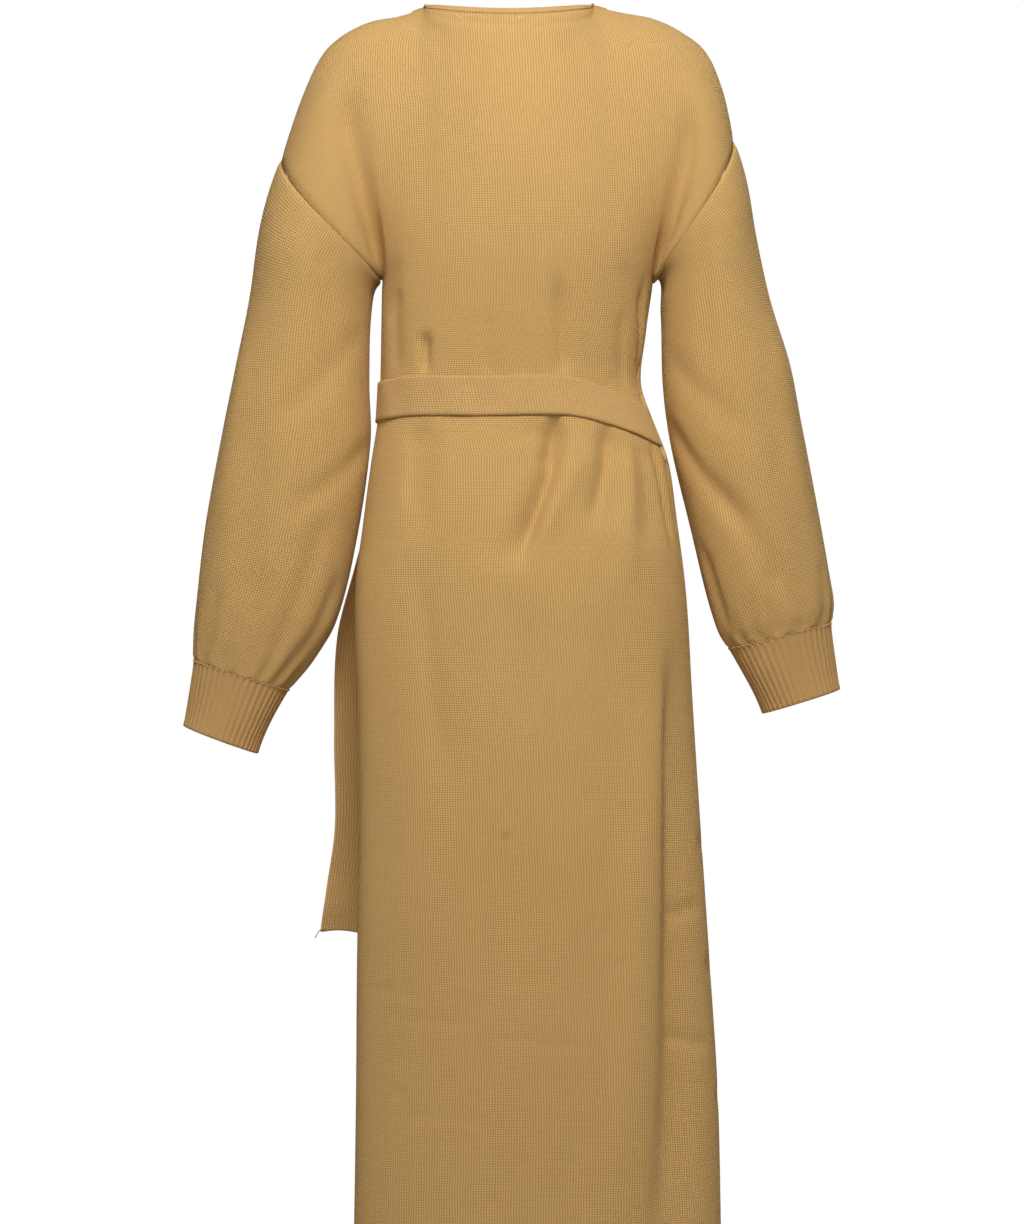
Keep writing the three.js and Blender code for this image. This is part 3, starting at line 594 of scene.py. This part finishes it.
tieInner = makeTieStretch("tieInnerBand", -2 - float(underEdge(body["waistDrop"])) + 0.004,
                          tie["knotTurn"] - knotHalf, tie["columns"])
tieOuter = makeTieStretch("tieOuterBand", tie["knotTurn"] + knotHalf,
                          2 - float(overEdge(body["waistDrop"])) - 0.002, 30)

tails = {
    "tieTailLongBand": {
        "share": [0, 0.12, 0.27, 0.4, 0.6, 0.78, 0.9, 1], "x": [128, 133, 153, 171, 174, 173, 181, 189],
        "y": [-86, -92, -84, -80, -80, -80, -80, -80], "z": [-438, -500, -580, -655, -760, -855, -915, -968],
        "facing": [38, 34, 26, 14, 8, 6, 3, 0], "curl": 1},
    "tieTailShortBand": {
        "share": [0, 0.12, 0.3, 0.5, 0.75, 1], "x": [122, 108, 86, 80, 84, 88],
        "y": [-95, -108, -122, -130, -132, -133], "z": [-434, -480, -540, -630, -740, -835],
        "facing": [36, 28, 21, 17, 15, 14], "curl": 1},
}


def makeTail(name):
    # strip across a listed middle line, turned by its facing angle, with an edge curl and a soft cup
    table = tails[name]
    row, column = grid(150, 14)
    across = tie["width"] * (column - 0.5)
    facing = np.radians(readTable(table, "share", "facing", row))
    cup = 1.6 * np.sin(5 * row + 1) * (2 * column - 1) ** 2 + 1.5 * np.sin(9 * row) * row
    curl = table["curl"] * 5 * easeStep(0.93, 1.0, row) ** 2 * (0.4 + 0.6 * column)
    out = cup + curl
    x = readTable(table, "share", "x", row) + across * np.cos(facing) + out * np.sin(facing)
    y = readTable(table, "share", "y", row) + across * np.sin(facing) - out * np.cos(facing)
    z = readTable(table, "share", "z", row) + 2.5 * np.sin(3 * column) * row ** 8
    return makeShell(name, asPoints(x, y, z), tie["wall"], rimRound=0.8)


tieTailLong, tieTailShort = makeTail("tieTailLongBand"), makeTail("tieTailShortBand")


def makeKnot():
    # the wrap of the knot: a band of rounded section carried round an upright oval, pinched at its middle
    turn, drop = np.array([tie["knotTurn"]]), tieMiddle(np.array([tie["knotTurn"]]))
    place = bodyAtTurn(turn, drop, 0)[0]
    outward = bodyNormal(-1, 2 - turn, drop)[0]
    outward = unit(outward * np.array([1, 1, 0]))
    sideways = np.cross(outward, [0, 0, 1])
    centre = place + outward * (tie["knotDeep"] / 2 + 1)
    round_, profile = np.meshgrid(np.arange(72) / 72 * 2 * np.pi,
                                  np.arange(28) / 28 * 2 * np.pi, indexing="ij")
    fat, wide = 3.1, tie["knotWide"] / 2 * (0.86 + 0.1 * np.sin(round_) ** 2)
    pleat = 0.5 * np.cos(3 * profile + 2 * np.sin(round_)) * np.abs(np.sin(profile))
    ring = (fat + pleat) * np.sin(profile)
    deep = (tie["knotDeep"] / 2 - 3.2 + ring) * np.cos(round_)
    tall = (tie["knotTall"] / 2 - 4 + ring) * np.sin(round_)
    over = wide * np.sign(np.cos(profile)) * np.abs(np.cos(profile)) ** 0.7
    points = (centre + outward * deep[..., None] + np.array([0, 0, 1.0]) * tall[..., None]
              + sideways * (over + 2.5 * np.sin(round_ * 1 + 0.6))[..., None])
    return tubeMesh("tieKnotWrap", points, True)


def tubeMesh(name, rings, loop):
    # rings along a path joined into a tube; a loop joins its last ring to its first,
    # else both ends are capped
    rows, columns = rings.shape[:2]
    index = np.arange(rows * columns).reshape(rows, columns)
    index = np.concatenate([index, index[:, :1]], axis=1)
    if loop:
        index = np.concatenate([index, index[:1]], axis=0)
    a, b, c, d = index[:-1, :-1], index[1:, :-1], index[1:, 1:], index[:-1, 1:]
    quads = np.stack([a, b, c, d], -1).reshape(-1, 4)
    points = rings.reshape(-1, 3)
    if not loop:
        middles = np.stack([rings[0].mean(0), rings[-1].mean(0)])
        first, last, top = rows * columns, rows * columns + 1, index[0]
        half = np.arange(0, columns, 2)
        bottom = index[-1]
        quads = np.concatenate([
            quads, np.stack([top[half], top[half + 1], top[(half + 2) % columns], 0 * half + first], -1),
            np.stack([bottom[half], 0 * half + last, bottom[(half + 2) % columns], bottom[half + 1]], -1)])
        points = np.concatenate([points, middles])
    flats = points[:, [0, 2]] * mm
    piece = meshObject(name, points * mm, quads, flats)
    turnOutwards(piece)
    return piece


def turnOutwards(piece):
    import bmesh
    work = bmesh.new()
    work.from_mesh(piece.data)
    bmesh.ops.recalc_face_normals(work, faces=work.faces)
    work.to_mesh(piece.data)
    work.free()


def cordAlong(name, path, radius, sides=8):
    # round section carried along a path
    ahead = unit(np.gradient(path, axis=0))
    side = unit(np.cross(ahead, np.array([0.31, 0.17, 0.93])))
    other = np.cross(ahead, side)
    angle = np.arange(sides) / sides * 2 * np.pi
    rings = path[:, None] + radius * (side[:, None] * np.cos(angle)[None, :, None]
                                      + other[:, None] * np.sin(angle)[None, :, None])
    return tubeMesh(name, rings, False)


tieKnot = makeKnot()
print("tie, tails and knot made")

# Small sewn details
details = {"cuffStitches": 96, "lipRadius": 1.3, "yarnRadius": 0.55}


def makeSlitLip(name, sign):
    share = np.linspace(0, 1, 60)
    middle = float(tieMiddle(np.array(slit["turn"])))
    drop = middle + slit["halfHeight"] * 1.06 * np.cos(np.pi * share)
    turn = slit["turn"] + np.where(sign < 0, -slitOpening(drop), 0.5 * slitOpening(drop)) + sign * 0.002
    return cordAlong(name, bodyAtTurn(turn, drop, 0.2), details["lipRadius"])


def makeLinking(side):
    # chain of slanting stitches, each a small double-pointed bead, laid round the cuff seam
    count = details["cuffStitches"]
    angle = np.arange(count) / count * 2 * np.pi
    shift = sleeveShift(side)
    middle = sleevePoint(side, 0.999 + 0 * angle, angle) + shift
    outward = sleeveNormal(side, 0.999 + 0 * angle, angle)
    ahead = unit(np.roll(middle, -1, 0) - np.roll(middle, 1, 0))
    lean = np.where(np.arange(count) % 2 == 0, 1.0, -1.0)[:, None]
    long = unit(ahead + lean * 0.9 * np.cross(outward, ahead))
    wide = np.cross(outward, long)
    ringShare = np.array([-1, -0.45, 0.45, 1])
    ringSize = np.array([0.12, 1, 1, 0.12])
    around = np.arange(6) / 6 * 2 * np.pi
    bead = (middle[:, None, None] + outward[:, None, None] * 0.2
            + long[:, None, None] * (ringShare * 1.9)[None, :, None, None]
            + (wide[:, None, None] * np.cos(around)[None, None, :, None]
               + outward[:, None, None] * np.sin(around)[None, None, :, None])
            * (ringSize * 0.62)[None, :, None, None])
    points = bead.reshape(-1, 3)
    base = np.arange(24).reshape(4, 6)
    base = np.concatenate([base, base[:, :1]], axis=1)
    sides = np.stack([base[:-1, :-1], base[:-1, 1:], base[1:, 1:], base[1:, :-1]], -1).reshape(-1, 4)
    caps = np.array([[0, 1, 2, 3], [0, 3, 4, 5], [21, 20, 19, 18], [23, 22, 21, 18]])
    one = np.concatenate([sides, caps])
    quads = (one[None] + 24 * np.arange(count)[:, None, None]).reshape(-1, 4)
    name = "cuffLeftLinking" if side == "left" else "cuffRightLinking"
    piece = meshObject(name, points * mm, quads, points[:, [0, 2]] * mm)
    turnOutwards(piece)
    return piece


def makeYarnLoop():
    # a stray loop of yarn at the long tail's outer corner
    share = np.linspace(0, 1, 40)[:, None]
    corner = np.array([206.0, -84.0, -966.0])
    swing = np.concatenate([9 * np.sin(np.pi * share), 2 * np.sin(2 * np.pi * share),
                            -3 + 5 * np.cos(2 * np.pi * share)], axis=1)
    return cordAlong("tieTailYarnLoop", corner + swing, details["yarnRadius"])


def makeTack(name, x, top, bottom):
    # a short thread that once held a label's corner, on the back just below the band
    share = np.linspace(0, 1, 14)
    drop = top + (bottom - top) * share
    across = (x + 1.6 * np.sin(5 * share)) / 215
    return cordAlong(name, bodyPoint(1, across, drop, 0.25), 0.4, 6)


slitLipBack, slitLipFront = makeSlitLip("slitLipBack", 1), makeSlitLip("slitLipFront", -1)
linkingLeft, linkingRight = makeLinking("left"), makeLinking("right")
yarnLoop = makeYarnLoop()
tacks = [makeTack("labelTackLeft", 36, 19, 27), makeTack("labelTackRight", -8, 20, 25)]
print("stitches and small details made")


# Knit as a shader group: wales as rounded columns, their loops as slanting legs along each column
def socket(group, direction, kind, name, value=None):
    made = group.interface.new_socket(name=name, in_out=direction, socket_type=kind)
    if value is not None:
        made.default_value = value


def mathNode(tree, operation, first, second=None, clamp=False):
    node = tree.nodes.new("ShaderNodeMath")
    node.operation = operation
    node.use_clamp = clamp
    for slot, value in zip(node.inputs, (first, second)):
        if value is None:
            continue
        if isinstance(value, (int, float)):
            slot.default_value = value
        else:
            tree.links.new(value, slot)
    return node.outputs[0]


def makeKnitGroup():
    group = bpy.data.node_groups.new("knitLoops", "ShaderNodeTree")
    socket(group, "INPUT", "NodeSocketVector", "Cloth Place")
    socket(group, "INPUT", "NodeSocketFloat", "Wales Per Metre", 370.0)
    socket(group, "INPUT", "NodeSocketFloat", "Courses Per Metre", 430.0)
    socket(group, "INPUT", "NodeSocketFloat", "Loop Share", 0.45)
    socket(group, "OUTPUT", "NodeSocketFloat", "Height")
    socket(group, "OUTPUT", "NodeSocketFloat", "Depth Shade")
    tree = group
    start = tree.nodes.new("NodeGroupInput")
    end = tree.nodes.new("NodeGroupOutput")
    wander = tree.nodes.new("ShaderNodeTexNoise")
    wander.inputs["Scale"].default_value = 45
    wander.inputs["Detail"].default_value = 2
    tree.links.new(start.outputs["Cloth Place"], wander.inputs["Vector"])
    split = tree.nodes.new("ShaderNodeSeparateXYZ")
    tree.links.new(start.outputs["Cloth Place"], split.inputs[0])
    drift = mathNode(tree, "MULTIPLY", mathNode(tree, "SUBTRACT", wander.outputs["Fac"], 0.5), 1.1)
    wale = mathNode(tree, "ADD",
                    mathNode(tree, "MULTIPLY", split.outputs[0], start.outputs["Wales Per Metre"]), drift)
    course = mathNode(tree, "MULTIPLY", split.outputs[1], start.outputs["Courses Per Metre"])
    across = mathNode(tree, "SUBTRACT", mathNode(tree, "FRACT", wale), 0.5)
    leg = mathNode(tree, "ABSOLUTE", across)
    column = mathNode(tree, "COSINE", mathNode(tree, "MULTIPLY", leg, math.pi))
    column = mathNode(tree, "POWER", column, 0.55)
    slant = mathNode(tree, "ADD", course, mathNode(tree, "MULTIPLY", leg, 1.1))
    slant = mathNode(tree, "ADD", slant, mathNode(tree, "MULTIPLY", drift, 0.5))
    loop = mathNode(tree, "COSINE", mathNode(tree, "MULTIPLY", slant, 2 * math.pi))
    loop = mathNode(tree, "MULTIPLY", mathNode(tree, "ADD", loop, 1.0), 0.5)
    weak = mathNode(tree, "SUBTRACT", 1.0, start.outputs["Loop Share"])
    shape = mathNode(tree, "ADD", weak, mathNode(tree, "MULTIPLY", loop, start.outputs["Loop Share"]))
    height = mathNode(tree, "MULTIPLY", column, shape)
    tree.links.new(height, end.inputs["Height"])
    # shade is strongest in the dots where a valley between wales crosses the gap between courses
    valley = mathNode(tree, "SUBTRACT", 1.0, column)
    gap = mathNode(tree, "SUBTRACT", 1.0, loop)
    dots = mathNode(tree, "MULTIPLY", valley, gap)
    shade = mathNode(tree, "ADD", mathNode(tree, "MULTIPLY", valley, 0.35),
                     mathNode(tree, "MULTIPLY", gap, 0.16))
    shade = mathNode(tree, "ADD", shade, mathNode(tree, "MULTIPLY", dots, 0.9), clamp=True)
    tree.links.new(shade, end.inputs["Depth Shade"])
    return group


def makeYarnGroup():
    # soft differences of dye over the cloth, painted shade in the knit's hollows (from Depth Shade), and the
    # fine fuzz of the yarn
    group = bpy.data.node_groups.new("yarnToneAndPaintedShade", "ShaderNodeTree")
    socket(group, "INPUT", "NodeSocketColor", "Light Yarn", (0.6, 0.38, 0.15, 1))
    socket(group, "INPUT", "NodeSocketColor", "Deep Yarn And Painted Shade", (0.3, 0.16, 0.05, 1))
    socket(group, "INPUT", "NodeSocketFloat", "Depth Shade", 0.0)
    socket(group, "INPUT", "NodeSocketFloat", "Unevenness", 0.12)
    socket(group, "OUTPUT", "NodeSocketColor", "Color")
    socket(group, "OUTPUT", "NodeSocketFloat", "Fuzz")
    start = group.nodes.new("NodeGroupInput")
    end = group.nodes.new("NodeGroupOutput")
    place = group.nodes.new("ShaderNodeTexCoord")
    factors = []
    for scale, detail in ((7, 3), (70, 4), (900, 3)):
        noise = group.nodes.new("ShaderNodeTexNoise")
        noise.inputs["Scale"].default_value = scale
        noise.inputs["Detail"].default_value = detail
        group.links.new(place.outputs["Object"], noise.inputs["Vector"])
        factors.append(mathNode(group, "SUBTRACT", noise.outputs["Fac"], 0.5))
    mixed = mathNode(group, "ADD", factors[0], mathNode(group, "MULTIPLY", factors[1], 0.8))
    mixed = mathNode(group, "ADD", mixed, mathNode(group, "MULTIPLY", factors[2], 1.2))
    uneven = mathNode(group, "MULTIPLY", mixed, start.outputs["Unevenness"])
    share = mathNode(group, "ADD", start.outputs["Depth Shade"], uneven, clamp=True)
    mix = group.nodes.new("ShaderNodeMix")
    mix.data_type = "RGBA"
    group.links.new(share, mix.inputs[0])
    group.links.new(start.outputs["Light Yarn"], mix.inputs[6])
    group.links.new(start.outputs["Deep Yarn And Painted Shade"], mix.inputs[7])
    group.links.new(mix.outputs[2], end.inputs["Color"])
    group.links.new(factors[2], end.inputs["Fuzz"])
    return group


knitGroup, yarnGroup = makeKnitGroup(), makeYarnGroup()

# deep is the darker yarn tone; painted shade in the knit's hollows also mixes the colour towards it
finishes = {
    "knitBody": {"light": (0.69, 0.435, 0.162), "deep": (0.30, 0.165, 0.052), "wales": 365, "courses": 430,
                 "loops": 0.5, "bump": 0.0012, "shade": 0.85},
    "knitBand": {"light": (0.66, 0.41, 0.165), "deep": (0.30, 0.165, 0.052), "wales": 420, "courses": 440,
                 "loops": 0.55, "bump": 0.0010, "shade": 0.62},
    "knitTie": {"light": (0.64, 0.40, 0.16), "deep": (0.28, 0.15, 0.047), "wales": 330, "courses": 400,
                "loops": 0.45, "bump": 0.0010, "shade": 0.66},
    "ribCuff": {"light": (0.60, 0.36, 0.14), "deep": (0.24, 0.125, 0.038), "wales": 450, "courses": 420,
                "loops": 0.6, "bump": 0.0008, "shade": 0.55},
    "seamYarn": {"light": (0.66, 0.43, 0.18), "deep": (0.32, 0.18, 0.06), "wales": 600, "courses": 500,
                 "loops": 0.4, "bump": 0.0004, "shade": 0.4},
    "paleThread": {"light": (0.80, 0.66, 0.42), "deep": (0.55, 0.40, 0.2), "wales": 900, "courses": 900,
                   "loops": 0.3, "bump": 0.0002, "shade": 0.3},
}
speck = {"place": (0.0125, 0.108, -0.853), "size": 0.0075, "color": (0.30, 0.15, 0.05)}


def groupNode(tree, group, values):
    node = tree.nodes.new("ShaderNodeGroup")
    node.node_tree = group
    for name, value in values.items():
        node.inputs[name].default_value = value
    return node


def makeFinish(name):
    look = finishes[name]
    material = bpy.data.materials.new(name)
    material.use_nodes = True
    tree = material.node_tree
    shader = tree.nodes["Principled BSDF"]
    place = tree.nodes.new("ShaderNodeUVMap")
    place.uv_map = "cloth"
    knit = groupNode(tree, knitGroup, {"Wales Per Metre": look["wales"], "Courses Per Metre": look["courses"],
                                       "Loop Share": look["loops"]})
    tree.links.new(place.outputs[0], knit.inputs["Cloth Place"])
    yarn = groupNode(tree, yarnGroup, {"Light Yarn": (*look["light"], 1), "Deep Yarn And Painted Shade": (*look["deep"], 1)})
    # painted shade: the knit's hollows and the dots between loops are painted darker, towards the deep colour
    tree.links.new(mathNode(tree, "MULTIPLY", knit.outputs["Depth Shade"], look["shade"]),
                   yarn.inputs["Depth Shade"])
    color = yarn.outputs["Color"]
    if name == "knitBody":
        color = addSpeck(tree, color)
    tree.links.new(color, shader.inputs["Base Color"])
    height = mathNode(tree, "ADD", knit.outputs["Height"],
                      mathNode(tree, "MULTIPLY", yarn.outputs["Fuzz"], 0.7))
    bump = tree.nodes.new("ShaderNodeBump")
    bump.inputs["Strength"].default_value = 0.8
    bump.inputs["Distance"].default_value = look["bump"]
    tree.links.new(height, bump.inputs["Height"])
    tree.links.new(bump.outputs[0], shader.inputs["Normal"])
    shader.inputs["Roughness"].default_value = 0.9
    shader.inputs["Specular IOR Level"].default_value = 0.18
    shader.inputs["Sheen Weight"].default_value = 0.12
    shader.inputs["Sheen Roughness"].default_value = 0.55
    shader.inputs["Sheen Tint"].default_value = (0.9, 0.75, 0.5, 1)
    return material


def addSpeck(tree, color):
    # one faint brown speck on the back of the skirt
    place = tree.nodes.new("ShaderNodeTexCoord")
    distance = tree.nodes.new("ShaderNodeVectorMath")
    distance.operation = "DISTANCE"
    distance.inputs[1].default_value = speck["place"]
    tree.links.new(place.outputs["Object"], distance.inputs[0])
    near = mathNode(tree, "SUBTRACT", 1.0,
                    mathNode(tree, "DIVIDE", distance.outputs["Value"], speck["size"]), clamp=True)
    mix = tree.nodes.new("ShaderNodeMix")
    mix.data_type = "RGBA"
    tree.links.new(mathNode(tree, "MULTIPLY", near, 0.6), mix.inputs[0])
    tree.links.new(color, mix.inputs[6])
    mix.inputs[7].default_value = (*speck["color"], 1)
    return mix.outputs[2]


materials = {name: makeFinish(name) for name in finishes}
print("knit, yarn and thread materials made")

# What each piece rides on, stands for, and is finished in
plan = [
    (backPanel, "back_panel", "knit_body", "knitBody"), (frontRight, "front_right", "knit_body", "knitBody"),
    (frontLeft, "front_left", "knit_body", "knitBody"),
    (neckBandBack, "neck_band_back", "knit_band", "knitBand"),
    (neckBandRight, "neck_band_right", "knit_band", "knitBand"),
    (neckBandLeft, "neck_band_left", "knit_band", "knitBand"),
    (sleeveLeft, "sleeve_left", "knit_body", "knitBody"),
    (sleeveRight, "sleeve_right", "knit_body", "knitBody"),
    (cuffLeft, "cuff_left", "rib_cuff", "ribCuff"), (cuffRight, "cuff_right", "rib_cuff", "ribCuff"),
    (tieInner, "tie_inner", "knit_tie", "knitTie"), (tieOuter, "tie_outer", "knit_tie", "knitTie"),
    (tieTailLong, "tie_tail_long", "knit_tie", "knitTie"),
    (tieTailShort, "tie_tail_short", "knit_tie", "knitTie"),
    (tieKnot, "tie_knot", "knit_tie", "knitTie"),
    (slitLipBack, None, "knit_band", "seamYarn"), (slitLipFront, None, "knit_band", "seamYarn"),
    (linkingLeft, None, "rib_cuff", "seamYarn"), (linkingRight, None, "rib_cuff", "seamYarn"),
    (yarnLoop, None, "knit_tie", "seamYarn"), (tacks[0], None, "knit_band", "paleThread"),
    (tacks[1], None, "knit_band", "paleThread"),
]
for piece, node, slot, finish in plan:
    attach(piece, "root")
    piece.data.materials.append(materials[finish])
    if node:
        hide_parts(node)

# Camera, ground and lights
view = {"centreX": 0.006, "centreZ": -0.628, "away": 4.0, "tall": 1.273, "ground": -1.47}
camera = bpy.data.objects.new("viewCamera", bpy.data.cameras.new("viewCamera"))
camera.data.lens = 18 * view["away"] / (view["tall"] / 2)
camera.data.sensor_width = 36
camera.location = (view["centreX"], view["away"], view["centreZ"])
camera.rotation_euler = (math.pi / 2, 0, math.pi)
camera.data.clip_end = 60
bpy.context.scene.collection.objects.link(camera)
bpy.context.scene.camera = camera


def paleMaterial():
    material = bpy.data.materials.new("paleGround")
    material.use_nodes = True
    tree = material.node_tree
    shader = tree.nodes["Principled BSDF"]
    shader.inputs["Base Color"].default_value = (0.55, 0.55, 0.55, 1)
    shader.inputs["Roughness"].default_value = 0.9
    seen = tree.nodes.new("ShaderNodeLightPath")
    glow = tree.nodes.new("ShaderNodeEmission")
    glow.inputs["Color"].default_value = (1, 1, 1, 1)
    glow.inputs["Strength"].default_value = 1.0
    mix = tree.nodes.new("ShaderNodeMixShader")
    tree.links.new(seen.outputs["Is Camera Ray"], mix.inputs[0])
    tree.links.new(shader.outputs[0], mix.inputs[1])
    tree.links.new(glow.outputs[0], mix.inputs[2])
    tree.links.new(mix.outputs[0], tree.nodes["Material Output"].inputs["Surface"])
    return material


groundMesh = bpy.data.meshes.new("paleFloor")
half, low = 20.0, view["ground"]
groundMesh.from_pydata([(-half, -half, low), (half, -half, low), (half, half, low), (-half, half, low)],
                       [], [(0, 1, 2, 3)])
groundMesh.materials.append(paleMaterial())
ground = bpy.data.objects.new("paleFloor", groundMesh)
bpy.context.scene.collection.objects.link(ground)

lamps = {
    "keySoft": {"place": (-0.12, 2.0, 1.4), "aim": (0, 0, -0.45),
                "size": 1.0, "power": 78, "color": (1, 0.99, 0.97)},
    "sideFill": {"place": (2.2, 2.4, 0.1), "aim": (0, 0, -0.55),
                 "size": 1.2, "power": 8, "color": (1, 0.98, 0.95)},
    "frontFill": {"place": (-0.6, -3.3, 0.9), "aim": (0, 0, -0.6),
                  "size": 2.2, "power": 55, "color": (1, 1, 1)},
}
for name, lamp in lamps.items():
    light = bpy.data.lights.new(name, "AREA")
    light.size = lamp["size"]
    light.energy = lamp["power"]
    light.color = lamp["color"]
    holder = bpy.data.objects.new(name, light)
    holder.location = lamp["place"]
    direction = Vector(lamp["aim"]) - Vector(lamp["place"])
    holder.rotation_euler = direction.to_track_quat("-Z", "Y").to_euler()
    bpy.context.scene.collection.objects.link(holder)

world = bpy.data.worlds.new("studio")
world.use_nodes = True
sky = world.node_tree
sky.nodes["Background"].inputs["Color"].default_value = (1, 0.86, 0.64, 1)
sky.nodes["Background"].inputs["Strength"].default_value = 0.17
bright = sky.nodes.new("ShaderNodeBackground")
bright.inputs["Color"].default_value = (1, 1, 1, 1)
bright.inputs["Strength"].default_value = 1.0
seen = sky.nodes.new("ShaderNodeLightPath")
choose = sky.nodes.new("ShaderNodeMixShader")
sky.links.new(seen.outputs["Is Camera Ray"], choose.inputs[0])
sky.links.new(sky.nodes["Background"].outputs[0], choose.inputs[1])
sky.links.new(bright.outputs[0], choose.inputs[2])
sky.links.new(choose.outputs[0], sky.nodes["World Output"].inputs["Surface"])
bpy.context.scene.world = world
bpy.context.scene.view_settings.view_transform = "Standard"
print("camera, ground and lights placed")
